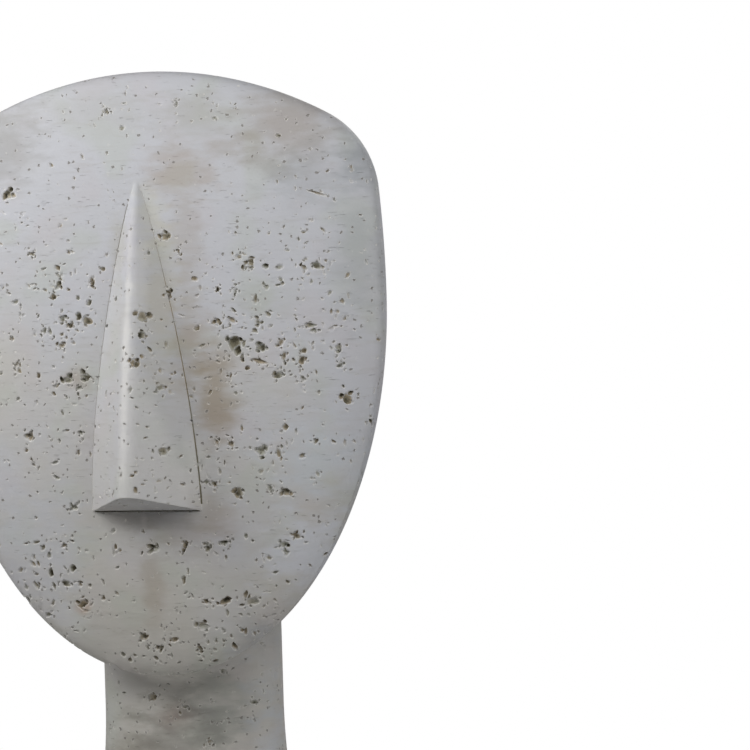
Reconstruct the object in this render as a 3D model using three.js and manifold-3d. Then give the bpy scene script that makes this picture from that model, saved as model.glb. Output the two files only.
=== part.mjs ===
// A standing head of cast resin with the look of pitted travertine: a broad shield-shaped face that is
// blank but for a long wedge nose, a rounded skull behind it, and a neck that spreads to a flat foot.
// It is cast in one, so it is one closed body. Millimetres, +Z up, the face looks along -Y, and the
// origin is the middle of the flat underside.
import * as THREE from "three";
import { mergeVertices } from "three/addons/utils/BufferGeometryUtils.js";
import Module from "manifold-3d";

// Face outline, seen from the front. Heights are taken from the face's widest level.
const FACE_WIDTH = 214.5;
const CROWN_RISE = 102; // widest level up to the crown
const CHIN_DROP = 166; // widest level down to the tip of the chin
const CROWN_RADIUS = 176; // the shallow arch over the forehead
const TEMPLE_RADIUS = 41; // the rounded upper corners
const CHEEK_RADIUS = 536; // the slight bow of the sides above the widest level

// Depth of the head, either side of the rim where the outline is widest.
const FACE_BULGE = 13.5; // rim forward to the middle of the face
const SKULL_DEPTH = 70; // rim back to the middle of the skull
const FACE_FLATNESS = 2.8; // 2 is a dome, and more is flatter with a tighter rim
const SKULL_FLATNESS = 2.3;

// Nose: a wedge that starts from nothing on the brow and ends in a flat underside.
const NOSE_TOP = 59; // its point, above the widest level
const NOSE_LENGTH = 150.5;
const NOSE_WIDTH = 51; // across the bottom, where it meets the face
const NOSE_DEPTH = 27.2; // how far its ridge stands out of the face at the bottom
const NOSE_FLARE = 1.68; // 1 gives straight sides, and more makes them bow outwards
const NOSE_RIDGE_RADIUS = 8.5; // roundness of the ridge at the bottom
const NOSE_UNDERCUT = 17; // degrees that the underside rises towards the ridge
const NOSE_ROOT = 3; // how far the wedge is sunk into the face

// Neck and foot.
const NECK_HEIGHT = 100; // underside up to the tip of the chin
const NECK_WIDTH = 83.5; // at the waist
const NECK_THICKNESS = 54; // at the waist, front to back
const NECK_INSET = 5; // back of the neck in front of the hindmost point of the skull
const NECK_ROUNDNESS = 2.2; // 2 is an ellipse, and more is squarer
const WAIST_HEIGHT = 84;
const FOOT_SPREAD = 11; // how far the foot stands out beyond the waist at the sides and back
const FOOT_FORWARD = 18; // and at the front, under the weight of the face

// Fineness of the faceted body.
const STEPS_AROUND_FACE = 80;
const STEPS_RIM_TO_MIDDLE = 14;
const STEPS_DOWN_NOSE = 14;
const STEPS_OVER_RIDGE = 6;
const STEPS_AROUND_NECK = 56;
const STEPS_UP_FOOT = 6;

const HALF_WIDTH = FACE_WIDTH / 2;
const WIDEST_LEVEL = NECK_HEIGHT + CHIN_DROP;
const NECK_MIDDLE = SKULL_DEPTH - NECK_INSET - NECK_THICKNESS / 2; // behind the rim of the face

const wasm = await Module();
wasm.setup();

// The right half of the outline from the crown to the chin: the crown arch, the temple arc, which
// touches the arches on both sides of it from within, the cheek arc, and a quarter ellipse for the jaw.
function halfOutline() {
  const crown = new THREE.Vector2(0, CROWN_RISE - CROWN_RADIUS);
  const cheek = new THREE.Vector2(HALF_WIDTH - CHEEK_RADIUS, 0);
  const toCrown = CROWN_RADIUS - TEMPLE_RADIUS;
  const toCheek = CHEEK_RADIUS - TEMPLE_RADIUS;
  const between = cheek.clone().sub(crown);
  const gap = between.length();
  const along = (toCrown ** 2 - toCheek ** 2 + gap ** 2) / (2 * gap);
  const aside = Math.sqrt(Math.max(toCrown ** 2 - along ** 2, 0));
  const unit = between.divideScalar(gap);
  const temple = crown
    .clone()
    .addScaledVector(unit, along)
    .addScaledVector(new THREE.Vector2(unit.y, -unit.x), aside);
  const crownEnd = temple.clone().sub(crown).angle();
  const cheekStart = temple.clone().sub(cheek).angle();
  return new THREE.Path()
    .absarc(crown.x, crown.y, CROWN_RADIUS, Math.PI / 2, crownEnd, true)
    .absarc(temple.x, temple.y, TEMPLE_RADIUS, crownEnd, cheekStart, true)
    .absarc(cheek.x, cheek.y, CHEEK_RADIUS, cheekStart, 0, true)
    .absellipse(0, 0, HALF_WIDTH, CHIN_DROP, 0, -Math.PI / 2, true);
}

// The height of a domed profile, 1 in the middle and 0 at the rim, where it turns straight back.
function dome(share, flatness) {
  return Math.sqrt(Math.max(1 - share ** flatness, 0));
}

// The face's own surface on the middle line, as the distance forward of the rim.
function faceForward(height) {
  const reach = height > 0 ? CROWN_RISE : CHIN_DROP;
  return FACE_BULGE * dome(Math.min(Math.abs(height) / reach, 1), FACE_FLATNESS);
}

// Turns a geometry into a solid. Only the positions count, so that shared corners merge, and the
// triangles that this shuts up, such as those at the nose's point, are left out.
function solidOf(geometry) {
  const bare = geometry.clone();
  for (const name of ["normal", "uv"]) bare.deleteAttribute(name);
  const merged = mergeVertices(bare, 1e-4);
  const corners = [];
  for (let i = 0; i < merged.index.count; i += 3) {
    const triangle = [0, 1, 2].map((k) => merged.index.getX(i + k));
    if (new Set(triangle).size === 3) corners.push(...triangle);
  }
  return new wasm.Manifold(
    new wasm.Mesh({
      numProp: 3,
      vertProperties: merged.attributes.position.array,
      triVerts: new Uint32Array(corners),
    }),
  );
}

// A closed body through rings of points, all with the same count and running counter-clockwise seen
// from the last ring's end, with a fan over each end.
function loft(rings) {
  const count = rings[0].length;
  const middle = (ring) =>
    ring
      .reduce((sum, p) => sum.add(p), new THREE.Vector3())
      .divideScalar(count);
  const points = [...rings.flat(), middle(rings[0]), middle(rings.at(-1))];
  const index = [];
  for (let i = 0; i < count; i++) {
    const next = (i + 1) % count;
    for (let r = 0; r + 1 < rings.length; r++) {
      const [a, b] = [r * count + i, r * count + next];
      index.push(a, b, b + count, a, b + count, a + count);
    }
    const last = (rings.length - 1) * count;
    index.push(points.length - 2, next, i, points.length - 1, last + i, last + next);
  }
  return new THREE.BufferGeometry().setFromPoints(points).setIndex(index);
}

// The head: a sphere with its poles at the front and back, drawn out to the outline and to the two
// depths. A point's distance from the sphere's axis becomes its share of the way to the outline.
function headGeometry() {
  const half = halfOutline();
  const sphere = new THREE.SphereGeometry(1, STEPS_AROUND_FACE, 2 * STEPS_RIM_TO_MIDDLE);
  const { position, uv } = sphere.attributes;
  for (let i = 0; i < position.count; i++) {
    const turn = 2 * THREE.MathUtils.euclideanModulo(uv.getX(i), 1);
    const edge = half.getPointAt(turn <= 1 ? turn : 2 - turn);
    const side = turn <= 1 ? -1 : 1;
    const toBack = -position.getY(i);
    const flatness = toBack > 0 ? SKULL_FLATNESS : FACE_FLATNESS;
    const depth = toBack > 0 ? SKULL_DEPTH : FACE_BULGE;
    const share = (1 - toBack ** 2) ** (1 / flatness);
    position.setXYZ(
      i,
      side * edge.x * share,
      depth * toBack,
      WIDEST_LEVEL + edge.y * share,
    );
  }
  return sphere;
}

// The nose: V-shaped sections with a rounded point, one below another from the brow to the underside.
// Each is sunk by NOSE_ROOT, so that its sides leave the face just where the width says.
function noseGeometry() {
  const lift = Math.tan(THREE.MathUtils.degToRad(NOSE_UNDERCUT));
  const rings = [];
  for (let s = STEPS_DOWN_NOSE; s >= 0; s--) {
    const down = s / STEPS_DOWN_NOSE;
    const height = NOSE_TOP - down * NOSE_LENGTH;
    const bow = down > 0 ? (1 - (1 - down) ** NOSE_FLARE) / down : NOSE_FLARE;
    const slope = ((NOSE_WIDTH / 2) * bow) / NOSE_DEPTH; // sideways for each step back
    const stand = NOSE_DEPTH * down;
    const halfAngle = Math.atan(slope);
    const radius = NOSE_RIDGE_RADIUS * down ** 0.4;
    const foot = (stand + NOSE_ROOT) * slope;
    const centre = stand - radius / Math.sin(halfAngle);
    const section = [[-foot, -NOSE_ROOT]];
    for (let k = 0; k <= STEPS_OVER_RIDGE; k++) {
      const turn = (Math.PI / 2 - halfAngle) * ((2 * k) / STEPS_OVER_RIDGE - 1);
      section.push([radius * Math.sin(turn), centre + radius * Math.cos(turn)]);
    }
    section.push([foot, -NOSE_ROOT]);
    rings.push(
      section.map(
        ([x, out]) =>
          new THREE.Vector3(
            x,
            -faceForward(height) - out,
            WIDEST_LEVEL + height + out * lift,
          ),
      ),
    );
  }
  return loft(rings);
}

// The neck: rounded-oval sections, spreading below the waist to the foot and plumb above it, up into
// the skull where that is deepest.
function neckGeometry() {
  const heights = [];
  for (let s = 0; s <= STEPS_UP_FOOT; s++) heights.push((WAIST_HEIGHT * s) / STEPS_UP_FOOT);
  heights.push(WIDEST_LEVEL);
  const rings = heights.map((height) => {
    const spread = Math.max(1 - height / WAIST_HEIGHT, 0) ** 2;
    const ring = [];
    for (let i = 0; i < STEPS_AROUND_NECK; i++) {
      const turn = (2 * Math.PI * i) / STEPS_AROUND_NECK;
      const [c, s] = [Math.cos(turn), Math.sin(turn)];
      const round = (v) => Math.sign(v) * Math.abs(v) ** (2 / NECK_ROUNDNESS);
      const endSpread = s < 0 ? FOOT_FORWARD : FOOT_SPREAD;
      ring.push(
        new THREE.Vector3(
          (NECK_WIDTH / 2 + FOOT_SPREAD * spread) * round(c),
          NECK_MIDDLE + (NECK_THICKNESS / 2 + endSpread * spread) * round(s),
          height,
        ),
      );
    }
    return ring;
  });
  return loft(rings);
}

// The foot's middle, front to back, which is where the origin goes.
const FOOT_MIDDLE = NECK_MIDDLE + (FOOT_SPREAD - FOOT_FORWARD) / 2;

const cast = solidOf(headGeometry())
  .add(solidOf(neckGeometry()))
  .add(solidOf(noseGeometry()))
  .getMesh();

const geometry = new THREE.BufferGeometry();
geometry.setAttribute("position", new THREE.BufferAttribute(cast.vertProperties, 3));
geometry.setIndex(new THREE.BufferAttribute(cast.triVerts, 1));
geometry.computeVertexNormals();

const resin = new THREE.MeshStandardMaterial({
  color: 0xc9c6c1,
  roughness: 0.85,
  metalness: 0,
  flatShading: true,
});
const sculpture = new THREE.Mesh(geometry, resin);
sculpture.name = "face_sculpture";
sculpture.position.y = -FOOT_MIDDLE;

const part = new THREE.Group();
part.add(sculpture);

export default part;
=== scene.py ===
"""A standing head of cast resin with the look of pitted travertine.

The CAD solid gives the place and the size. This script makes the same body again with a fine surface,
rounds the corner between chin and neck, and cuts the travertine's open pits into it. Metres, +Z up,
and the face looks along -Y.
"""

import bmesh
import bpy
import numpy as np
from mathutils import Matrix, Vector


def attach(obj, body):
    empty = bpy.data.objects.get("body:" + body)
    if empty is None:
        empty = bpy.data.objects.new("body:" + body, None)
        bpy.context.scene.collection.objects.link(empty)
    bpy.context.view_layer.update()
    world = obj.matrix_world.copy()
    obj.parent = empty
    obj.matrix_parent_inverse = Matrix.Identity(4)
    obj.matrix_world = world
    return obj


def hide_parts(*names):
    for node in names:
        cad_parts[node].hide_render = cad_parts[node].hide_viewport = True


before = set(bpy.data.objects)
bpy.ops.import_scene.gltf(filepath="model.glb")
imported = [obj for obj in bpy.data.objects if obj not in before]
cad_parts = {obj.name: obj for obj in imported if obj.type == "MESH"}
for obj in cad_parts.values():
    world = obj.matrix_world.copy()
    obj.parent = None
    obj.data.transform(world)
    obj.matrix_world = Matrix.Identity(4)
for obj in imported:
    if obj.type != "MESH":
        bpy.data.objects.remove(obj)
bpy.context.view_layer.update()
chance = np.random.default_rng(20)

MM = 0.001

# Face outline, seen from the front. Heights are taken from the face's widest level.
FACE_WIDTH = 214.5 * MM
CROWN_RISE = 102 * MM
CHIN_DROP = 166 * MM
CROWN_RADIUS = 176 * MM
TEMPLE_RADIUS = 41 * MM
CHEEK_RADIUS = 536 * MM

# Depth of the head, either side of the rim where the outline is widest.
FACE_BULGE = 13.5 * MM
SKULL_DEPTH = 70 * MM
FACE_FLATNESS = 2.8
SKULL_FLATNESS = 2.3

NOSE_TOP = 59 * MM
NOSE_LENGTH = 150.5 * MM
NOSE_WIDTH = 51 * MM  # between the corners below
NOSE_DEPTH = 27.2 * MM  # how far the ridge stands out below
NOSE_FLARE = 1.68
NOSE_RIDGE_RADIUS = 8.5 * MM
NOSE_UNDERCUT = np.radians(17)
NOSE_ROOT = 3 * MM  # how deep the nose is sunk into the face
NOSE_TIP_WEAR = 0.8 * MM  # how much is rubbed off the nose's point, above the brow

NECK_HEIGHT = 100 * MM
NECK_WIDTH = 83.5 * MM
NECK_THICKNESS = 54 * MM
NECK_INSET = 5 * MM  # from the back of the skull to the back of the neck
NECK_ROUNDNESS = 2.2
WAIST_HEIGHT = 84 * MM
FOOT_SPREAD = 11 * MM  # past the neck at the sides and behind
FOOT_FORWARD = 18 * MM  # past the neck in front

CELL = 2.5 * MM  # spacing of the fine surface
ARC_POINTS = 400
RIDGE_POINTS = 13
SAME_POINT = 0.01 * MM  # points closer than this are one
SLIVER = 0.7 * MM  # so are points closer than this, where the neck joins the head

CHIN_FILLET = 15 * MM  # how far the rounding reaches from the corner between jaw and neck
CHIN_ROUNDS = 45
CHIN_PULL = 0.6  # how much of the way to their neighbours' mean the points go in a round

# The line incised round the nose. For its right, left and lower part: how far it stops short of the
# corner's end, then its radius and the pit depth that sets how dark its earth colour is, deeper than the
# line really is so that it paints shade into the line: from its first to its last end, all in millimetres.
GROOVE_RIGHT = (4, (0.1, 0.44), (0.3, 2))
GROOVE_LEFT = (10, (0.24, 0.08), (0.7, 0.2))
GROOVE_BELOW = (1, (0.45, 0.45), (2, 2))
GROOVE_RINGS = 60
GROOVE_SIDES = 6

HALF_WIDTH = FACE_WIDTH / 2
WIDEST_LEVEL = NECK_HEIGHT + CHIN_DROP
NOSE_BOTTOM = WIDEST_LEVEL + NOSE_TOP - NOSE_LENGTH
NECK_MIDDLE = SKULL_DEPTH - NECK_INSET - NECK_THICKNESS / 2  # behind the rim
RIM_Y = (FOOT_FORWARD - FOOT_SPREAD) / 2 - NECK_MIDDLE
FACE_FRONT = RIM_Y - FACE_BULGE
FACE_MIDDLE = Vector((0, RIM_Y, WIDEST_LEVEL))


def arc(centre, radius, start, end):
    """Points along an arc: the centre plus the radius in each direction from start to end."""
    turn = np.linspace(start, end, ARC_POINTS)
    return centre + radius * np.stack([np.cos(turn), np.sin(turn)], axis=-1)


def outline(share):
    """Points of the face's outline at shares (0 to 1) of its length, clockwise from the crown.

    The right half is the crown arc, the temple arc that touches its neighbours from within, the cheek
    arc and a quarter ellipse. The left half is its mirror image."""
    crown = np.array([0, CROWN_RISE - CROWN_RADIUS])
    cheek = np.array([HALF_WIDTH - CHEEK_RADIUS, 0])
    to_crown = CROWN_RADIUS - TEMPLE_RADIUS
    to_cheek = CHEEK_RADIUS - TEMPLE_RADIUS
    gap = np.hypot(*(cheek - crown))
    unit = (cheek - crown) / gap
    along = (to_crown**2 - to_cheek**2 + gap**2) / (2 * gap)
    aside = np.sqrt(to_crown**2 - along**2)
    temple = crown + along * unit + aside * np.array([unit[1], -unit[0]])
    crown_end = np.arctan2(*(temple - crown)[::-1])
    cheek_start = np.arctan2(*(temple - cheek)[::-1])
    jaw = arc(0, 1, 0, -np.pi / 2) * [HALF_WIDTH, CHIN_DROP]
    half = np.concatenate([
        arc(crown, CROWN_RADIUS, np.pi / 2, crown_end),
        arc(temple, TEMPLE_RADIUS, crown_end, cheek_start),
        arc(cheek, CHEEK_RADIUS, cheek_start, 0),
        jaw,
    ])
    length = np.append(0, np.cumsum(np.hypot(*np.diff(half, axis=0).T)))
    length /= length[-1]
    way = 1 - abs(1 - 2 * share)
    side = np.where(share > 0.5, -1, 1)
    x = side * np.interp(way, length, half[:, 0])
    return x, np.interp(way, length, half[:, 1])


def dome(share, flatness):
    """Height of a domed profile: the root of 1 less the share to the power of the flatness."""
    return np.sqrt(np.clip(1 - share**flatness, 0, 1))


def head_half(depth, flatness, back):
    """One half of the head, front or back, as a square grid drawn out to the outline.

    Each square ring of the grid becomes a smaller copy of the outline, moved away from the rim by the
    depth times the dome of its share. The rings are equally spaced along the curved surface."""
    steps = round(FACE_WIDTH / 2 / CELL)
    line = np.arange(-steps, steps + 1)
    across, up = np.meshgrid(line, line)
    ring = np.maximum(abs(across), abs(up))
    way = np.select([up == ring, across == ring, up == -ring],
                    [across, 2 * ring - up, 4 * ring - across], 6 * ring + up)
    turn = (way / np.maximum(8 * ring, 1)) % 1
    angle = np.linspace(0, np.pi / 2, 4000)
    out = np.sin(angle) ** (2 / flatness)
    run = np.hypot(np.diff(out * (HALF_WIDTH + CHIN_DROP) / 2), np.diff(depth * np.cos(angle)))
    run = np.append(0, np.cumsum(run))
    at = np.interp(ring / steps * run[-1], run, angle)
    share = np.sin(at) ** (2 / flatness)
    x, z = outline(turn)
    y = RIM_Y + (1 if back else -1) * depth * np.cos(at)
    return np.stack([x * share, y, WIDEST_LEVEL + z * share], axis=-1)


def nose_surface():
    """The nose: sections one above another, each a V with a rounded point, sunk into the face.

    The half width grows as 1 less (1 - share of the way down) to the power of the flare, the ridge stands
    out in proportion to the way down, and its roundness grows as the way down to the power of 0.4.
    Points further out are lifted by the undercut. The point is sunk by the wear, which fades to nothing
    an eighth of the way down."""
    rows = round(NOSE_LENGTH / CELL) + 1
    down = np.linspace(1, 0, rows)[:, None]
    height = NOSE_TOP - down * NOSE_LENGTH
    reach = np.where(height > 0, CROWN_RISE, CHIN_DROP)
    face = FACE_BULGE * dome(abs(height) / reach, FACE_FLATNESS)
    bow = np.where(down > 0, (1 - (1 - down) ** NOSE_FLARE) / np.maximum(down, 1e-9), NOSE_FLARE)
    slope = NOSE_WIDTH / 2 * bow / NOSE_DEPTH
    stand = NOSE_DEPTH * down
    half_angle = np.arctan(slope)
    radius = NOSE_RIDGE_RADIUS * down**0.4
    centre = stand - radius / np.sin(half_angle)
    turn = (np.pi / 2 - half_angle) * np.linspace(-1, 1, RIDGE_POINTS)
    tip_x, tip_out = radius * np.sin(turn), centre + radius * np.cos(turn)
    foot_x = (stand + NOSE_ROOT) * slope
    flank = np.linspace(0, 1, round(NOSE_DEPTH * 1.5 / CELL))[:-1]
    left_x = -foot_x + flank * (tip_x[:, :1] + foot_x)
    left_out = -NOSE_ROOT + flank * (tip_out[:, :1] + NOSE_ROOT)
    x = np.concatenate([left_x, tip_x, -left_x[:, ::-1]], axis=1)
    out = np.concatenate([left_out, tip_out, left_out[:, ::-1]], axis=1)
    out -= NOSE_TIP_WEAR * np.clip(1 - 8 * down, 0, 1)
    z = WIDEST_LEVEL + height + out * np.tan(NOSE_UNDERCUT)
    return np.stack([x, RIM_Y - face - out, z], axis=-1)


def neck_surface():
    """The neck: rounded ovals from the underside up into the skull.

    The half width and thickness grow below the waist by the foot's spread times the square of the way
    down from the waist. An oval's sides are cosine and sine to the power of 2 over the roundness."""
    height = np.arange(0, WIDEST_LEVEL + CELL / 2, CELL)[:, None]
    turn = np.linspace(0, 2 * np.pi, round(np.pi * NECK_WIDTH * 0.85 / CELL), endpoint=False)
    spread = np.clip(1 - height / WAIST_HEIGHT, 0, 1) ** 2
    side, end = (np.sign(v) * abs(v) ** (2 / NECK_ROUNDNESS) for v in (np.cos(turn), np.sin(turn)))
    x = (NECK_WIDTH / 2 + FOOT_SPREAD * spread) * side
    end_spread = np.where(end < 0, FOOT_FORWARD, FOOT_SPREAD)
    y = RIM_Y + NECK_MIDDLE + (NECK_THICKNESS / 2 + end_spread * spread) * end
    return np.stack([x, y, height + 0 * x], axis=-1)


def grid_faces(rows, columns, closed=False):
    """Quads between the rows of a grid, anticlockwise where rows go up and columns go right."""
    row, column = np.mgrid[: rows - 1, : columns if closed else columns - 1]
    a = row * columns + column
    b = row * columns + (column + 1) % columns
    return np.stack([a, b, b + columns, a + columns], axis=-1).reshape(-1, 4)


def new_piece(name, points, faces, caps=(), depth=None):
    """A mesh object from arrays of points and quads, and caps of many corners. Its pit_depth, in
    millimetres, is how far a point is below the surface, and 0 where no depth is given."""
    mesh = bpy.data.meshes.new(name)
    mesh.from_pydata(points.reshape(-1, 3).tolist(), [], [*faces.tolist(), *caps])
    mesh.validate()
    pit_depth = mesh.attributes.new("pit_depth", "FLOAT", "POINT")
    if depth is not None:
        pit_depth.data.foreach_set("value", depth.astype(np.float32))
    piece = bpy.data.objects.new(name, mesh)
    bpy.context.scene.collection.objects.link(piece)
    return piece


def column_piece(name, surface):
    """A closed body from rings one above another, with a flat cap on each end."""
    rows, columns = surface.shape[:2]
    first = list(range(columns))[::-1]
    last = [(rows - 1) * columns + i for i in range(columns)]
    return new_piece(name, surface, grid_faces(rows, columns, closed=True), (first, last))


def keep_step(piece, kind, **settings):
    """Runs one modifier on the piece and keeps the result as its mesh."""
    step = piece.modifiers.new(kind, kind)
    for name, value in settings.items():
        setattr(step, name, value)
    view = bpy.context.evaluated_depsgraph_get()
    made = bpy.data.meshes.new_from_object(piece.evaluated_get(view))
    piece.modifiers.clear()
    old, piece.data = piece.data, made
    bpy.data.meshes.remove(old)


def boolean(piece, operation, tool):
    """Joins the tool to the piece or cuts the piece with it, and drops the tool."""
    keep_step(piece, "BOOLEAN", operation=operation, solver="MANIFOLD", object=tool)
    bpy.data.meshes.remove(tool.data)


def read(items, field, kind, width):
    """One field of all the items of a mesh, as an array."""
    values = np.empty(len(items) * width, kind)
    items.foreach_get(field, values)
    return values.reshape(-1, width) if width > 1 else values


def edge_pairs(mesh):
    """For each edge, its two faces."""
    edges = read(mesh.loops, "edge_index", np.int32, 1)
    faces = np.repeat(np.arange(len(mesh.polygons)), read(mesh.polygons, "loop_total", np.int32, 1))
    order = np.argsort(edges, kind="stable")
    return faces[order].reshape(-1, 2)


def inner_corners(mesh, angle):
    """All points, all edges' ends, and which edges are inner corners: the other face's middle is in
    front of the first face, and the two meet at more than the angle."""
    points = read(mesh.vertices, "co", float, 3)
    ends = read(mesh.edges, "vertices", np.int32, 2)
    middle = read(mesh.polygons, "center", float, 3)
    normal = read(mesh.polygons, "normal", float, 3)
    one, other = edge_pairs(mesh).T
    inner = ((middle[other] - middle[one]) * normal[one]).sum(1) > 0
    sharp = (normal[one] * normal[other]).sum(1) < np.cos(angle)
    return points, ends, inner & sharp


def soften_chin(mesh):
    """Rounds the inner corner between head and neck.

    Points near the corner move to the mean of their neighbours again and again, by a weight that falls
    as a root from 1 at the corner to 0 at the fillet's reach. The reach is 0.6 of the whole under the
    chin, whole half way to the neck's sides, and a quarter at the sides, where the corner stays crisp."""
    points, ends, corner = inner_corners(mesh, np.radians(20))
    low = points[ends].mean(1)[:, 2] < NOSE_BOTTOM - 10 * MM
    seeds = points[np.unique(ends[corner & low])]
    near = np.flatnonzero(points[:, 2] < seeds[:, 2].max() + CHIN_FILLET)
    gap = np.full(len(points), np.inf)
    for part in np.array_split(near, 60):
        gap[part] = np.sqrt(((points[part, None] - seeds[None]) ** 2).sum(-1).min(1))
    aside = abs(points[:, 0]) / (NECK_WIDTH / 2)
    reach = CHIN_FILLET * np.interp(aside, [0, 0.3, 0.6, 0.85, 1], [0.6, 0.65, 1, 0.7, 0.25])
    pull = np.clip(1 - gap / reach, 0, 1)[:, None] ** 0.5
    a, b = ends.T
    count = np.bincount(ends.ravel(), minlength=len(points))[:, None]
    for _ in range(CHIN_ROUNDS):
        total = np.stack([np.bincount(a, points[b, k], len(points))
                          + np.bincount(b, points[a, k], len(points)) for k in range(3)], axis=-1)
        points += CHIN_PULL * pull * (total / count - points)
    mesh.vertices.foreach_set("co", points.ravel())
    mesh.update()


def nose_grooves(mesh):
    """Thin tubes along the corners between nose and face, which cut the incised line round the nose.

    Each runs through the corner's points, taken in order of height at the sides and from left to right
    below. A ring's points stand off by the radius. The right line starts below the nose's point and
    deepens downwards, and the left one fades out."""
    points, ends, corner = inner_corners(mesh, np.radians(12))
    corner = points[np.unique(ends[corner])]
    corner = corner[(corner[:, 2] > NOSE_BOTTOM - 3 * MM) & (corner[:, 1] < RIM_Y)]
    below = corner[:, 2] < NOSE_BOTTOM + 1 * MM
    right, left = corner[~below & (corner[:, 0] > 0)], corner[~below & (corner[:, 0] < 0)]
    turn = np.linspace(0, 2 * np.pi, GROOVE_SIDES, endpoint=False)
    rings, faces, caps, depth, first = [], [], [], [], 0
    # For each line: its points, the axis that it runs along, and which way round its faces go.
    for path, run, way, (short, size, shade_depth) in ((right, 2, -1, GROOVE_RIGHT), (left, 2, -1, GROOVE_LEFT),
                                                (corner[below], 0, 1, GROOVE_BELOW)):
        steps = np.linspace(path[:, run].max() - short * MM, path[:, run].min() + 1 * MM, GROOVE_RINGS)
        path = path[np.argsort(path[:, run])]
        line = np.stack([np.interp(steps, path[:, run], path[:, k]) for k in range(3)], axis=-1)
        radius = np.linspace(*size, GROOVE_RINGS)[:, None] * MM
        ring = np.repeat(line[:, None], GROOVE_SIDES, axis=1)
        ring[..., 2 - run] += radius * np.cos(turn)
        ring[..., 1] += radius * np.sin(turn)
        rings.append(ring.reshape(-1, 3))
        faces.append(grid_faces(GROOVE_RINGS, GROOVE_SIDES, closed=True)[:, ::way] + first)
        last = first + (GROOVE_RINGS - 1) * GROOVE_SIDES
        caps.append(list(range(first, first + GROOVE_SIDES))[::-way])
        caps.append(list(range(last, last + GROOVE_SIDES))[::way])
        # The earth colour follows this depth, which is deeper than the tube: painted shade in the line.
        depth.append(np.repeat(np.linspace(*shade_depth, GROOVE_RINGS), GROOVE_SIDES))
        first += GROOVE_RINGS * GROOVE_SIDES
    return new_piece("grooves", np.concatenate(rings), np.concatenate(faces), caps, np.concatenate(depth))


head_front = head_half(FACE_BULGE, FACE_FLATNESS, back=False)
head_back = head_half(SKULL_DEPTH, SKULL_FLATNESS, back=True)
front_faces = grid_faces(*head_front.shape[:2])
body = new_piece(
    "face_sculpture_cast",
    np.concatenate([head_front.reshape(-1, 3), head_back.reshape(-1, 3)]),
    np.concatenate([front_faces, front_faces[:, ::-1] + head_front[..., 0].size]),
)
keep_step(body, "WELD", merge_threshold=SAME_POINT)
boolean(body, "UNION", column_piece("neck", neck_surface()))
keep_step(body, "WELD", merge_threshold=SLIVER)
soften_chin(body.data)
boolean(body, "UNION", column_piece("nose", nose_surface()))
boolean(body, "DIFFERENCE", nose_grooves(body.data))


# The pits that catch the eye, in millimetres: across from the middle line, up from the widest level,
# length, width, and how many degrees the length is turned anticlockwise from level.
LARGE_PITS = np.array([
    (18, 87, 5.3, 2.0, 95), (-15, 85, 3.0, 2.7, 140), (-62, 50, 5.4, 5.1, 155), (13, 29, 6.8, 5.0, 0),
    (-51, 23, 4.5, 2.4, 165), (6, 22, 3.3, 2.3, 65), (19, 22, 3.2, 1.9, 115), (47, 19, 3.3, 3.1, 85),
    (52, 16, 4.9, 4.4, 165), (82, 14, 6.8, 3.4, 165), (76, 13, 4.5, 2.8, 135), (-22, 10, 4.9, 3.3, 85),
    (14, 3, 5.0, 4.0, 70), (-38, 9, 5.1, 3.4, 75), (-41, 4, 4.0, 3.4, 80), (37, 5, 2.8, 2.5, 70),
    (45, 4, 4.0, 2.4, 95), (54, 0, 5.4, 2.8, 80), (5, -6, 7.6, 5.5, 155), (-37, -6, 3.8, 3.9, 0),
    (-25, -7, 6.8, 4.4, 170), (36, -9, 4.4, 3.6, 5), (43, -9, 6.0, 3.2, 160), (-33, -9, 3.8, 3.2, 25),
    (55, -10, 4.5, 3.2, 105), (-46, -11, 3.5, 2.7, 55), (78, -12, 7.9, 2.8, 170), (5, -14, 5.0, 3.4, 0),
    (-38, -18, 4.7, 3.4, 170), (44, -19, 8.8, 7.6, 145), (65, -19, 5.2, 3.5, 65), (56, -21, 4.6, 5.2, 100),
    (66, -25, 5.3, 3.0, 80), (90, -22, 4.6, 4.0, 95), (91, -29, 4.0, 3.0, 95), (2, -26, 5.6, 4.3, 135),
    (-60, -26, 6.1, 2.8, 50), (74, -27, 5.9, 3.5, 70), (55, -27, 10.5, 2.7, 160), (-35, -33, 6.8, 4.2, 15),
    (-27, -32, 6.6, 4.4, 170), (-30, -37, 4.0, 3.0, 10), (63, -33, 6.0, 3.8, 5), (41, -34, 3.4, 2.7, 100),
    (74, -35, 3.6, 2.7, 70), (12, -37, 5.5, 3.6, 0), (93, -44, 6.4, 5.4, 160), (-55, -58, 4.9, 4.9, 40),
    (-30, -57, 3.7, 3.0, 135), (34, -62, 3.8, 2.4, 115), (41, -63, 4.4, 2.5, 105), (13, -65, 7.4, 3.9, 175),
    (54, -66, 5.9, 5.6, 20), (62, -67, 6.4, 3.2, 110), (32, -80, 3.5, 2.9, 135), (57, -82, 4.7, 2.8, 120),
    (43, -84, 6.6, 5.5, 145), (64, -84, 5.3, 4.4, 155), (-35, -90, 4.6, 3.6, 175), (68, -103, 5.7, 3.4, 145),
    (35, -106, 6.6, 2.8, 5), (27, -107, 3.6, 3.6, 115), (17, -107, 4.0, 3.6, 80), (-41, -107, 3.8, 2.4, 20),
    (62, -107, 6.0, 3.9, 0), (2, -108, 7.9, 4.2, 170), (-41, -124, 6.6, 3.4, 165), (46, -132, 9.6, 3.8, 10),
    (34, -132, 8.0, 3.4, 15), (25, -132, 3.8, 3.0, 15), (-34, -133, 7.1, 4.2, 15), (23, -143, 7.6, 5.0, 170),
    (-6, -148, 4.8, 4.8, 170), (9, -149, 5.2, 3.2, 15), (2, -153, 3.9, 3.3, 175), (20, -153, 4.1, 3.3, 65),
    (-10, -177, 5.6, 4.4, 30), (6, -181, 3.4, 2.2, 10), (35, -180, 5.1, 2.4, 0), (17, -197, 3.0, 2.2, 0),
    (83, 45, 12.6, 1.4, 162),
])

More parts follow.
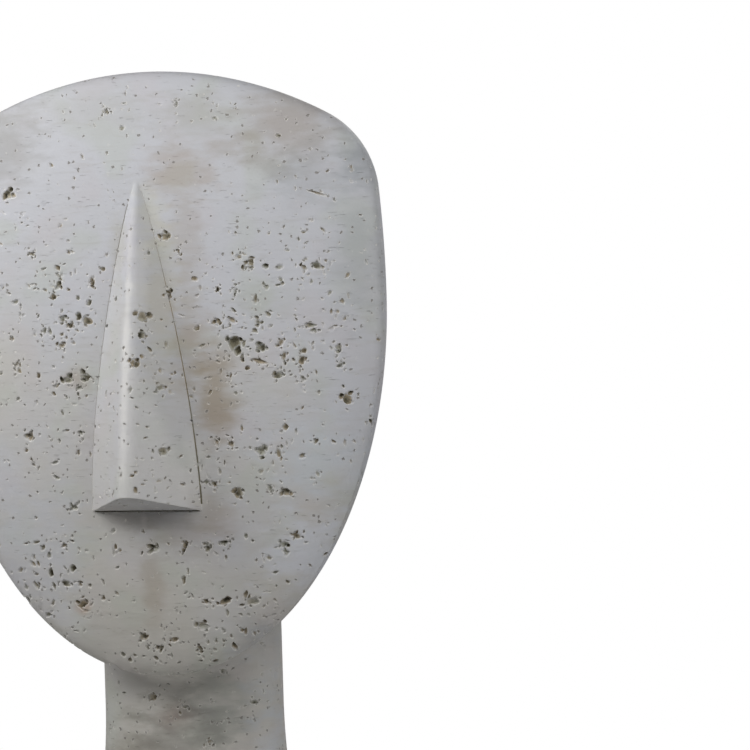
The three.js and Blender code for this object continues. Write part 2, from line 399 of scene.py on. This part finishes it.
# How many small pits there are on each 1000 square millimetres, by height above the widest level:
# the bedding of the stone gathers them in bands.
BAND_HEIGHT = np.array([-266, -170, -164, -128, -112, -104, -98, -82, -74, -66, -56, -46, -30, -4, 14, 28,
                        40, 102])
BAND_PITS = np.array([7, 8, 30, 33, 27, 20, 10, 13, 20, 20, 15, 21, 26, 24, 22, 11, 7, 6])
ROW_SPACING = 7  # millimetres between the rows of small pits
BACK_SHARE = 0.4  # how dense the pits behind the rim are, next to the face's
PLAIN_FOOT = 4  # millimetres above the underside without pits
USUAL_LENGTH, LEAST_LENGTH, MOST_LENGTH = 2, 0.95, 3.6  # of a small pit, in millimetres
LEAST_WIDTH = 0.8 * MM

# Bowls that cut the pits: rings, sides, and how much the outline swells and shrinks.
FINE_BOWL = (4, 14, 0.16)
SMALL_BOWL = (2, 8, 0.22)
FINE_LENGTH = 2.4 * MM  # parts of the large pits longer than this are cut with the fine bowl
CREASE = np.radians(32)  # faces that meet at more than this have a sharp edge


def scattered_pits(mesh):
    """Places, normals and sizes of the small pits.

    A triangle of the surface gets pits in proportion to its area times the density: the band's own,
    times a sine wave of the height for the rows, times a wave across for gaps in the rows, and less
    behind the rim. Lengths spread as a lognormal, and are up to two thirds longer where the pits crowd.
    Turns keep near the level, the upright and the two diagonals."""
    mesh.calc_loop_triangles()
    corners = read(mesh.loop_triangles, "vertices", np.int32, 3)
    points = read(mesh.vertices, "co", float, 3)[corners]
    normal = read(mesh.loop_triangles, "normal", float, 3)
    area = read(mesh.loop_triangles, "area", float, 1)
    x, y, z = points.mean(1).T / MM
    density = np.interp(z - WIDEST_LEVEL / MM, BAND_HEIGHT, BAND_PITS) / 1000 / MM**2
    density *= 1 + 0.8 * np.sin(2 * np.pi * z / ROW_SPACING + 1.5 * np.sin((x + y) / 25))
    density *= np.clip(1 + 0.9 * np.sin((x + y) / 17 + 2 * np.sin(z / 31)) * np.sin(z / 13 - x / 9), 0.2, 2)
    density *= np.where((y > RIM_Y / MM + 6) & (z > NECK_HEIGHT / MM), BACK_SHARE, 1) * (z > PLAIN_FOOT)
    count = round((area * density).sum())
    pick = chance.choice(len(area), count, p=area * density / (area * density).sum())
    u, v = chance.random((2, count, 1))
    flip = u + v > 1
    u, v = np.where(flip, 1 - u, u), np.where(flip, 1 - v, v)
    a, b, c = points[pick].transpose(1, 0, 2)
    place = a + u * (b - a) + v * (c - a)
    crowd = density[pick] / density.max()
    length = np.clip(chance.lognormal(np.log(USUAL_LENGTH), 0.4, count), LEAST_LENGTH, MOST_LENGTH)
    length = (0.85 + 0.6 * crowd) * length * MM
    width = np.maximum(length / chance.uniform(1.1, 2.6, count), LEAST_WIDTH)
    deep = width * np.clip(chance.lognormal(np.log(0.5), 0.35, count), 0.22, 1)
    turn = chance.choice([0, 45, 90, 135], count, p=[0.3, 0.17, 0.36, 0.17]) + chance.normal(0, 14, count)
    return place, normal[pick], length, width, deep, np.radians(turn)


def named_pits(piece):
    """Places, normals and sizes of the large pits.

    For each there is a main hollow, then three lobes that eat into its edge a third of a turn apart,
    then three crumbs further out: the three kinds, in this order in each np.choose. Each is found by
    looking at the sculpture from the front."""
    across, up, length, width, turn = LARGE_PITS.T * [[MM], [MM], [MM], [MM], [np.pi / 180]]
    count = len(across)
    kind = np.repeat([0, 1, 2], [1, 3, 3])[:, None]
    way = chance.uniform(0, 2 * np.pi, count) + np.array([0, 0, 1, 2, 0.5, 1.4, 2.6])[:, None] * np.pi / 1.5
    way += chance.normal(0, 0.3, way.shape)
    far = np.choose(kind, [0, 0.72, 1.5]) * chance.uniform(0.85, 1.35, way.shape)
    along, aside = far * length / 2 * np.cos(way), far * width / 2 * np.sin(way)
    x = across + along * np.cos(turn) - aside * np.sin(turn)
    z = up + along * np.sin(turn) + aside * np.cos(turn)
    wide = width * chance.uniform(0.3, 0.6, way.shape)
    crumb = chance.uniform(0.8, 1.5, way.shape) * MM
    length = np.choose(kind, [length * 0.85, wide * chance.uniform(1, 1.7, way.shape), crumb * 1.5])
    width = np.choose(kind, [width * 0.85, wide, crumb])
    deep = width * np.choose(kind, [0.47, 0.72, 0.6]) * chance.lognormal(0, 0.3, way.shape)
    turn = turn + (kind > 0) * chance.uniform(0, np.pi, way.shape)
    found = [piece.ray_cast((a, -1, WIDEST_LEVEL + b), (0, 1, 0)) for a, b in zip(x.ravel(), z.ravel())]
    hit = np.array([f[0] for f in found])
    place = np.array([f[1] for f in found])[hit]
    normal = np.array([f[2] for f in found])[hit]
    return place, normal, *(v.ravel()[hit] for v in (length, width, deep, turn))


def lumps(pits, rings, sides, wobble):
    """Closed lumps that cut the pits.

    Each is a bowl: the square of a ring's share of the outline, less 1, times the depth is its height,
    and its last slope runs on to a lid above the surface. The outline swells and shrinks by sine waves of
    two to five turns, the bowl leans, and each point is shaken."""
    place, normal, length, width, deep, turn = pits
    count = len(place)
    level = np.cross([0, 0, 1], normal)
    short = np.linalg.norm(level, axis=1, keepdims=True)
    level = np.where(short > 0.05, level / np.maximum(short, 1e-9), [1, 0, 0])
    rise = np.cross(normal, level)
    c, s = np.cos(turn)[:, None], np.sin(turn)[:, None]
    along, aside = c * level + s * rise, c * rise - s * level
    deep = deep[:, None, None]
    share = np.linspace(0, 1, rings + 1)[1:-1, None] + np.zeros((count, 1, 1))
    low = deep * (share**2 - 1) * chance.uniform(0.75, 1.25, (count, rings - 1, sides))
    lid = np.maximum(0.3 * deep, 0.35 * MM)
    share = np.concatenate([share, 1 + np.minimum(lid / deep / 2, 0.6)], axis=1)
    high = np.concatenate([low, lid + np.zeros((count, 1, sides))], axis=1)
    round_way = np.linspace(0, 2 * np.pi, sides, endpoint=False)
    waves = np.arange(2, 6)[:, None]
    phase = chance.uniform(0, 2 * np.pi, (count, 4, 1))
    size = chance.uniform(0.3, 1, (count, 4, 1)) * wobble / (waves - 1) ** 0.7
    swell = 1 + (size * np.sin(waves * round_way + phase)).sum(1)
    out = share * swell[:, None] * (1 + chance.uniform(-0.13, 0.13, high.shape))
    x = length[:, None, None] / 2 * out * np.cos(round_way)
    y = width[:, None, None] / 2 * out * np.sin(round_way)
    ends = np.concatenate([-deep, lid], axis=1)[..., 0]
    x, y, high = (np.concatenate([v.reshape(count, -1), e], axis=1)
                  for v, e in ((x, 0 * ends), (y, 0 * ends), (high, ends)))
    lean = chance.normal(0, 0.35, (2, count, 1))
    x, y = x + lean[0] * high, y + lean[1] * high
    points = (place[:, None] + x[..., None] * along[:, None] + y[..., None] * aside[:, None]
              + high[..., None] * normal[:, None])
    line = np.arange(sides)
    after = (line + 1) % sides
    top = (rings - 1) * sides
    bottom_fan = np.stack([after, line, 0 * line + rings * sides], axis=-1)
    top_fan = np.stack([top + line, top + after, 0 * line + rings * sides + 1], axis=-1)
    step = np.arange(count)[:, None, None] * (rings * sides + 2)
    quads = (grid_faces(rings, sides, closed=True) + step).reshape(-1, 4)
    fans = (np.concatenate([bottom_fan, top_fan]) + step).reshape(-1, 3)
    return new_piece("lumps", points, quads, fans.tolist(), np.maximum(-high, 0).ravel() / MM)


def cut_pits(piece, pits, bowl):
    """Cuts the pits in as many passes as it takes for no two in a pass to touch."""
    place, _, length, width, *_ = pits
    reach = np.maximum(length, width) * 0.9
    turn = np.full(len(place), -1)
    for i in range(len(place)):
        near = np.linalg.norm(place[:i] - place[i], axis=1) < reach[:i] + reach[i]
        taken = set(turn[:i][near])
        turn[i] = min(set(range(len(taken) + 1)) - taken)
    for number in range(turn.max() + 1):
        part = turn == number
        boolean(piece, "DIFFERENCE", lumps([v[part] for v in pits], *bowl))


def drop_flat_bits(mesh):
    """Removes the bits without thickness that the cutting leaves: pairs of quads on the same four
    corners, which touch nothing else."""
    total = read(mesh.polygons, "loop_total", np.int32, 1)
    first = read(mesh.polygons, "loop_start", np.int32, 1)
    corners = read(mesh.loops, "vertex_index", np.int32, 1)
    quads = np.flatnonzero(total == 4)
    rings = np.sort(corners[first[quads, None] + np.arange(4)], axis=1)
    _, kind, count = np.unique(rings, axis=0, return_inverse=True, return_counts=True)
    shape = bmesh.new()
    shape.from_mesh(mesh)
    shape.faces.ensure_lookup_table()
    flat = [shape.faces[i] for i in quads[count[kind.ravel()] > 1]]
    bmesh.ops.delete(shape, geom=flat, context="FACES")
    shape.to_mesh(mesh)
    shape.free()


def mark_edges(mesh, angle):
    """Smooth faces, with a sharp edge wherever two faces meet at more than the angle."""
    normal = read(mesh.polygons, "normal", float, 3)
    one, other = edge_pairs(mesh).T
    sharp = (normal[one] * normal[other]).sum(1) < np.cos(angle)
    mesh.polygons.foreach_set("use_smooth", np.ones(len(mesh.polygons), bool))
    mesh.edges.foreach_set("use_edge_sharp", sharp)
    mesh.update()


large = named_pits(body)
small = scattered_pits(body.data)
is_long = large[2] > FINE_LENGTH
cut_pits(body, [v[is_long] for v in large], FINE_BOWL)
cut_pits(body, [np.concatenate([v[~is_long], w]) for v, w in zip(large, small)], SMALL_BOWL)
drop_flat_bits(body.data)
mark_edges(body.data, CREASE)


def linear(code):
    """A colour written as sRGB hex, turned to linear light."""
    value = np.array([int(code[i : i + 2], 16) for i in (0, 2, 4)]) / 255
    value = np.where(value <= 0.04045, value / 12.92, ((value + 0.055) / 1.055) ** 2.4)
    return (*value, 1.0)


def add(tree, kind, settings=None, **sockets):
    """Adds a node with its settings and links. A socket is named with _ for a space, or _ and its
    number, and gets a value, an output, or the first open output of another node."""
    made = tree.nodes.new(kind)
    for name, value in (settings or {}).items():
        setattr(made, name, value)
    for name, value in sockets.items():
        by_name = [s for s in made.inputs if s.enabled and s.name == name.replace("_", " ")]
        socket = by_name[0] if by_name else made.inputs[int(name[1:])]
        if isinstance(value, bpy.types.Node):
            value = next(s for s in value.outputs if s.enabled)
        if isinstance(value, bpy.types.NodeSocket):
            tree.links.new(value, socket)
        else:
            socket.default_value = value
    return made


PATCH_DEPTH = 90 * MM  # how far the stains and the painted light and shade reach back from the front of the face

# Soft stains, and painted shade and painted highlights where noted: across and up in millimetres as for the
# pits, half width, half height, colour, strength.
STAINS_AND_PAINTED_LIGHT = [
    (34, -41, 14, 28, "907C58", 0.55),
    (22, -16, 10, 36, "9E9076", 0.4),
    (68, 76, 32, 24, "9A9082", 0.5),
    (62, 60, 14, 11, "A09C96", 0.35),
    (40, 66, 14, 9, "A29A8E", 0.3),
    (20, 56, 22, 15, "A8998A", 0.5),
    (23, 26, 12, 24, "A09384", 0.3),
    (28, -14, 11, 13, "A08A76", 0.2),
    (14, -102, 26, 12, "988872", 0.25),
    (31, -93, 13, 13, "9E9078", 0.35),
    # Painted shadow: a thin dark strip just below the nose.
    (1, -96, 28, 6, "6C6660", 0.3),
    (1, -126, 7, 26, "988872", 0.33),
    (-34, -135, 6, 5, "B08B69", 0.6),
    (-31, -33, 9, 6, "85664A", 0.35),
    (1, -186, 13, 8, "8E6A5C", 0.45),
    # The next three: darker grey on the neck below the chin, partly stain and partly painted shade from the
    # chin.
    (24, -184, 24, 22, "858A84", 0.55),
    (-20, -206, 26, 26, "8F8B7E", 0.6),
    (3, -196, 30, 28, "7F7C76", 0.55),
    # Painted light: the neck's right side paler and bluer, as lit from the right.
    (47, -195, 18, 60, "D6DCE6", 0.5),
    # Painted shadow of the jaw on the top of the neck's right side.
    (46, -152, 12, 20, "8A8A88", 0.35),
    (-42, -141, 16, 12, "D6D6D8", 0.4),
    (-22, 86, 50, 15, "AFAEA8", 0.32),
    (-66, 74, 26, 26, "96948F", 0.5),
    (78, -70, 30, 26, "CAD1DB", 0.5),
    (74, -112, 30, 24, "D8DCE6", 0.6),
    (-58, -108, 40, 44, "C4C8D2", 0.4),
    (29, 80, 26, 14, "A8A69C", 0.4),
    (80, 52, 26, 17, "A0A6AA", 0.35),
    (104, 62, 16, 20, "8F9496", 0.55),
    (98, 14, 16, 34, "A0A5A6", 0.4),
    (12, 0, 10, 44, "BCB69D", 0.4),
    (7, 37, 8, 17, "C8C6B6", 0.5),
    (-8, 24, 6, 24, "B4B2A4", 0.35),
    # The next two: a painted highlight along the nose's ridge.
    (3, 4, 4, 30, "E0DFDC", 0.35),
    (-1.5, -22, 2.4, 74, "F0EEEA", 0.45),
    (24, -74, 7, 22, "E0DED8", 0.4),
    (56, 0, 22, 12, "AEB2A6", 0.3),
]


def travertine_resin():
    """Polyester resin filled with stone powder and coloured like unfilled travertine, cast in a mould
    and rubbed matt. The eye sees a dull pale grey, cooler at the top and warmer towards the foot, with
    faint level bedding, grey-ochre earth in the pits, and soft brown stains."""
    material = bpy.data.materials.new("travertine_resin")
    material.use_nodes = True
    tree = material.node_tree
    tree.nodes.clear()
    smooth = {"interpolation_type": "SMOOTHSTEP"}
    blend = {"data_type": "RGBA"}
    times = {"operation": "MULTIPLY"}
    coordinates = add(tree, "ShaderNodeTexCoord").outputs
    place = coordinates["Object"]

    # Ground: cool grey at the crown and to the right, warmer below, with clouds 5 cm across.
    axis = add(tree, "ShaderNodeSeparateXYZ", Vector=place).outputs
    slant = add(tree, "ShaderNodeMath", {"operation": "MULTIPLY_ADD"}, _0=axis["X"], _1=0.35, _2=axis["Z"])
    rise = add(tree, "ShaderNodeMapRange", Value=slant, From_Min=0.1, From_Max=0.34)
    cloud = add(tree, "ShaderNodeTexNoise", Vector=place, Scale=1 / (50 * MM), Detail=3)
    cool = add(tree, "ShaderNodeMath", {"operation": "MULTIPLY_ADD"}, _0=rise, _1=0.6, _2=cloud)
    cool = add(tree, "ShaderNodeMapRange", smooth, Value=cool, From_Min=0.45, From_Max=1.05)
    colour = add(tree, "ShaderNodeMix", blend, Factor=cool, A=linear("C3C0B9"), B=linear("C5C6CB"))
    # Greenish and pinkish tints 2 cm across, as minerals give.
    tint = add(tree, "ShaderNodeTexNoise", Vector=place, Scale=1 / (22 * MM), Detail=1)
    green = add(tree, "ShaderNodeMapRange", smooth, Value=tint, From_Min=0.52, From_Max=0.7, To_Max=0.3)
    colour = add(tree, "ShaderNodeMix", blend, Factor=green, A=colour, B=linear("B9BFB2"))
    pink = add(tree, "ShaderNodeMapRange", smooth, Value=tint, From_Min=0.48, From_Max=0.3, To_Max=0.18)
    colour = add(tree, "ShaderNodeMix", blend, Factor=pink, A=colour, B=linear("C4BABD"))
    # Bedding: level layers about 3 mm thick that run a couple of centimetres.
    flat = add(tree, "ShaderNodeMapping", Vector=place, Scale=(1, 1, 6))
    bedding = add(tree, "ShaderNodeTexNoise", Vector=flat, Scale=1 / (16 * MM), Detail=3, Roughness=0.5,
                  Distortion=0.8)
    layer = add(tree, "ShaderNodeMapRange", smooth, Value=bedding, From_Min=0.5, From_Max=0.75, To_Max=0.16)
    colour = add(tree, "ShaderNodeMix", blend, Factor=layer, A=colour, B=linear("A19C90"))
    # Hairlines: thin level cracks, 0.3 mm by half a centimetre.
    thin = add(tree, "ShaderNodeMapping", Vector=place, Scale=(1, 1, 14))
    crack = add(tree, "ShaderNodeTexNoise", Vector=thin, Scale=1 / (5 * MM), Detail=2)
    crack = add(tree, "ShaderNodeMapRange", smooth, Value=crack, From_Min=0.69, From_Max=0.76)
    faint = add(tree, "ShaderNodeMath", times, _0=crack, _1=0.35)
    colour = add(tree, "ShaderNodeMix", blend, Factor=faint, A=colour, B=linear("868074"))
    # Stains, painted shade and painted highlights, with ragged edges, drawn out along the bedding.
    drawn = add(tree, "ShaderNodeMapping", Vector=place, Scale=(1, 1, 2.4))
    ragged = add(tree, "ShaderNodeTexNoise", Vector=drawn, Scale=1 / (13 * MM), Detail=5)
    for x, z, wide, tall, code, strength in STAINS_AND_PAINTED_LIGHT:
        centred = add(tree, "ShaderNodeMapping", {"vector_type": "TEXTURE"}, Vector=place,
                      Location=(x * MM, FACE_FRONT, WIDEST_LEVEL + z * MM),
                      Scale=(wide * MM, PATCH_DEPTH, tall * MM))
        far = add(tree, "ShaderNodeVectorMath", {"operation": "LENGTH"}, _0=centred)
        far = add(tree, "ShaderNodeMath", {"operation": "MULTIPLY_ADD"}, _0=ragged, _1=1.6, _2=far)
        mark = add(tree, "ShaderNodeMapRange", smooth, Value=far, From_Min=0.9, From_Max=1.9,
                   To_Min=strength, To_Max=0.0)
        colour = add(tree, "ShaderNodeMix", blend, Factor=mark, A=colour, B=linear(code))
    # Painted highlight on the nose: paler from its ridge over its right side, and the lower the wider, up to
    # a line that leans by 0.36, but not on its underside.
    painted_highlight = add(tree, "ShaderNodeMapRange", smooth, Value=axis["X"], From_Min=-6 * MM, From_Max=-2.5 * MM,
              To_Max=0.34)
    lean = 0.36
    low = add(tree, "ShaderNodeMath", {"operation": "MULTIPLY_ADD"}, _0=axis["Z"], _1=lean, _2=axis["X"])
    start = lean * (WIDEST_LEVEL - 43 * MM) + 6 * MM
    low = add(tree, "ShaderNodeMapRange", smooth, Value=low, From_Min=start + 7 * MM, From_Max=start)
    out = add(tree, "ShaderNodeMapRange", smooth, Value=axis["Y"], From_Min=FACE_FRONT - 1 * MM,
              From_Max=FACE_FRONT - 5 * MM)
    facing = add(tree, "ShaderNodeSeparateXYZ", Vector=coordinates["Normal"]).outputs["Z"]
    upper = add(tree, "ShaderNodeMapRange", smooth, Value=facing, From_Min=-0.8, From_Max=-0.5)
    for share in (low, out, upper):
        painted_highlight = add(tree, "ShaderNodeMath", times, _0=painted_highlight, _1=share)
    colour = add(tree, "ShaderNodeMix", blend, Factor=painted_highlight, A=colour, B=linear("E4E2DF"))
    # Ragged pinholes of half a millimetre with a pale rim, in every seventh cell of 2.4 mm.
    shake = add(tree, "ShaderNodeTexNoise", Vector=place, Scale=1 / (1.1 * MM), Detail=2)
    bent = add(tree, "ShaderNodeVectorMath", {"operation": "MULTIPLY_ADD"}, _0=shake.outputs["Color"],
               _1=(2.2 * MM, 2.2 * MM, 1.4 * MM), _2=place)
    cells = add(tree, "ShaderNodeTexVoronoi", Vector=bent, Scale=1 / (2.4 * MM))
    number = add(tree, "ShaderNodeSeparateColor", Color=cells.outputs["Color"])
    chosen = add(tree, "ShaderNodeMath", {"operation": "GREATER_THAN"}, _0=number, _1=0.86)
    hole = add(tree, "ShaderNodeMapRange", smooth, Value=cells, From_Min=0.31, From_Max=0.15)
    hole = add(tree, "ShaderNodeMath", times, _0=hole, _1=chosen)
    rim = add(tree, "ShaderNodeMapRange", smooth, Value=cells, From_Min=0.45, From_Max=0.32, To_Max=0.28)
    rim = add(tree, "ShaderNodeMath", times, _0=rim, _1=chosen)
    colour = add(tree, "ShaderNodeMix", blend, Factor=rim, A=colour, B=linear("DEDCD8"))
    faint = add(tree, "ShaderNodeMath", times, _0=hole, _1=0.7)
    colour = add(tree, "ShaderNodeMix", blend, Factor=faint, A=colour, B=linear("77726A"))
    # Edges are pale for most of a millimetre either side: partly wear, partly a painted highlight where the
    # rims catch the light.
    bevelled_normal = add(tree, "ShaderNodeBevel", {"samples": 4}, Radius=0.8 * MM)
    unbevelled_normal = add(tree, "ShaderNodeNewGeometry").outputs["Normal"]
    edge = add(tree, "ShaderNodeVectorMath", {"operation": "DOT_PRODUCT"}, _0=bevelled_normal, _1=unbevelled_normal)
    edge = add(tree, "ShaderNodeMapRange", smooth, Value=edge, From_Min=0.985, From_Max=0.85, To_Max=0.85)
    colour = add(tree, "ShaderNodeMix", blend, Factor=edge, A=colour, B=linear("F2EFE8"))
    # Earth in the pits: thin on the walls, grey or ochre below, darker from a millimetre and a half.
    depth = add(tree, "ShaderNodeAttribute", {"attribute_name": "pit_depth"}).outputs["Fac"]
    kind = add(tree, "ShaderNodeTexNoise", Vector=place, Scale=1 / (14 * MM), Detail=1)
    kind = add(tree, "ShaderNodeMapRange", smooth, Value=kind, From_Min=0.4, From_Max=0.6)
    earth = add(tree, "ShaderNodeMix", blend, Factor=kind, A=linear("AFAEA2"), B=linear("B0A48F"))
    deeper = add(tree, "ShaderNodeMapRange", smooth, Value=depth, From_Min=0.9, From_Max=2.2)
    earth = add(tree, "ShaderNodeMix", blend, Factor=deeper, A=earth, B=linear("827D6B"))
    lining = add(tree, "ShaderNodeMapRange", smooth, Value=depth, From_Min=0.25, From_Max=0.95)
    colour = add(tree, "ShaderNodeMix", blend, Factor=lining, A=colour, B=earth)

    # Relief, in millimetres: grain of the stone powder, bedding, a slight unevenness, and the holes, on the
    # bevelled normal of the rounded edges.
    grain = add(tree, "ShaderNodeTexNoise", Vector=place, Scale=1 / (0.9 * MM), Detail=3)
    relief = add(tree, "ShaderNodeMath", times, _0=grain, _1=0.06)
    rough_floor = add(tree, "ShaderNodeMath", times, _0=shake, _1=lining)
    for pattern, amount in ((bedding, 0.08), (ragged, 0.3), (hole, -0.35), (crack, -0.12),
                            (rough_floor, 0.5)):
        relief = add(tree, "ShaderNodeMath", {"operation": "MULTIPLY_ADD"}, _0=pattern, _1=amount, _2=relief)
    bump = add(tree, "ShaderNodeBump", Strength=1.0, Distance=1 * MM, Height=relief, Normal=bevelled_normal)

    # Sheen: dull, patchily smoother where the mould was, smoothest on the painted highlight, dead matt in
    # the pits.
    matt = add(tree, "ShaderNodeMapRange", Value=cloud, From_Min=0.3, From_Max=0.7, To_Min=0.74, To_Max=0.88)
    matt = add(tree, "ShaderNodeMath", {"operation": "MULTIPLY_ADD"}, _0=painted_highlight, _1=-0.3, _2=matt)
    matt = add(tree, "ShaderNodeMath", {"operation": "MAXIMUM"}, _0=matt, _1=lining)
    shader = add(tree, "ShaderNodeBsdfPrincipled", Base_Color=colour, Roughness=matt, IOR=1.5,
                 Specular_IOR_Level=0.3, Normal=bump)
    add(tree, "ShaderNodeOutputMaterial", Surface=shader)
    return material


body.data.materials.clear()
body.data.materials.append(travertine_resin())
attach(body, "root")
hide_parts("face_sculpture")


def plain_material(name, code):
    """Even matt paint."""
    material = bpy.data.materials.new(name)
    material.use_nodes = True
    shader = material.node_tree.nodes["Principled BSDF"]
    shader.inputs["Base Color"].default_value = linear(code)
    shader.inputs["Roughness"].default_value = 0.9
    return material


# Floor: a round pale board, a hair below the foot.
FLOOR_RADIUS = 0.38
FLOOR_GAP = 0.2 * MM
turn = np.linspace(0, 2 * np.pi, 128, endpoint=False)
board = np.stack([FLOOR_RADIUS * np.cos(turn), FLOOR_RADIUS * np.sin(turn), 0 * turn - FLOOR_GAP], axis=-1)
floor = bpy.data.objects.new("floor", bpy.data.meshes.new("floor"))
floor.data.from_pydata(board.tolist(), [], [list(range(len(board)))])
floor.data.materials.append(plain_material("pale_floor", "CFCFCF"))
bpy.context.scene.collection.objects.link(floor)


def softbox(name, azimuth, elevation, distance, size, power):
    """A square area light that looks at the middle of the face. Azimuth 0 is in front of it, and grows
    towards +X."""
    a, e = np.radians([azimuth, elevation])
    away = Vector((np.sin(a) * np.cos(e), -np.cos(a) * np.cos(e), np.sin(e)))
    lamp = bpy.data.lights.new(name, "AREA")
    lamp.size, lamp.energy = size, power
    holder = bpy.data.objects.new(name, lamp)
    turned = away.to_track_quat("Z", "Y").to_matrix().to_4x4()
    holder.matrix_world = Matrix.Translation(FACE_MIDDLE + away * distance) @ turned
    holder.visible_camera = False
    bpy.context.scene.collection.objects.link(holder)


softbox("key", -62, 22, 0.42, 0.2, 1.13)
softbox("top_front", -12, 44, 0.45, 0.22, 0.42)
softbox("front_fill", 12, 24, 0.42, 0.22, 0.41)
softbox("right_fill", 55, 12, 0.42, 0.22, 0.42)
softbox("right_rim", 100, 5, 0.5, 0.25, 0.33)
softbox("back_fill", 175, 30, 0.9, 0.5, 4.5)

# Studio room: white to the camera, and a very dim even light on the object.
world = bpy.data.worlds.new("studio")
bpy.context.scene.world = world
world.use_nodes = True
room = world.node_tree
room.nodes.clear()
seen = add(room, "ShaderNodeLightPath").outputs["Is Camera Ray"]
white = add(room, "ShaderNodeBackground", Color=linear("FFFFFF"), Strength=1.0)
dim = add(room, "ShaderNodeBackground", Color=linear("FFFFFF"), Strength=0.03)
both = add(room, "ShaderNodeMixShader", _0=seen, _1=dim, _2=white)
add(room, "ShaderNodeOutputWorld", Surface=both)
bpy.context.scene.view_settings.view_transform = "Standard"

# Camera: 22 degrees round towards +X, level with the face, leaning so that the head leans to the left,
# and aimed beside the head, which the picture's left edge cuts.
CAMERA_AZIMUTH = np.radians(22)
CAMERA_LEAN = np.radians(1.7)
CAMERA_DISTANCE = 1.4
FRAME_WIDTH = 333.3 * MM  # what the picture spans at that distance
SENSOR_WIDTH = 36  # millimetres, as the lens
AIM_ASIDE = 99.7 * MM
AIM_BELOW = 32.3 * MM

back = Vector((np.sin(CAMERA_AZIMUTH), -np.cos(CAMERA_AZIMUTH), 0))
level = Vector((np.cos(CAMERA_AZIMUTH), np.sin(CAMERA_AZIMUTH), 0))
upright = Vector((0, 0, 1))
right = level * np.cos(CAMERA_LEAN) - upright * np.sin(CAMERA_LEAN)
up = level * np.sin(CAMERA_LEAN) + upright * np.cos(CAMERA_LEAN)
eye = FACE_MIDDLE + back * CAMERA_DISTANCE
look = (FACE_MIDDLE + right * AIM_ASIDE - up * AIM_BELOW - eye).normalized()
side = look.cross(up).normalized()
camera = bpy.data.objects.new("camera", bpy.data.cameras.new("camera"))
camera.data.lens = SENSOR_WIDTH * CAMERA_DISTANCE / FRAME_WIDTH
camera.data.sensor_width = SENSOR_WIDTH
axes = Matrix((side, side.cross(look), -look)).transposed().to_4x4()
camera.matrix_world = Matrix.Translation(eye) @ axes
bpy.context.scene.collection.objects.link(camera)
bpy.context.scene.camera = camera
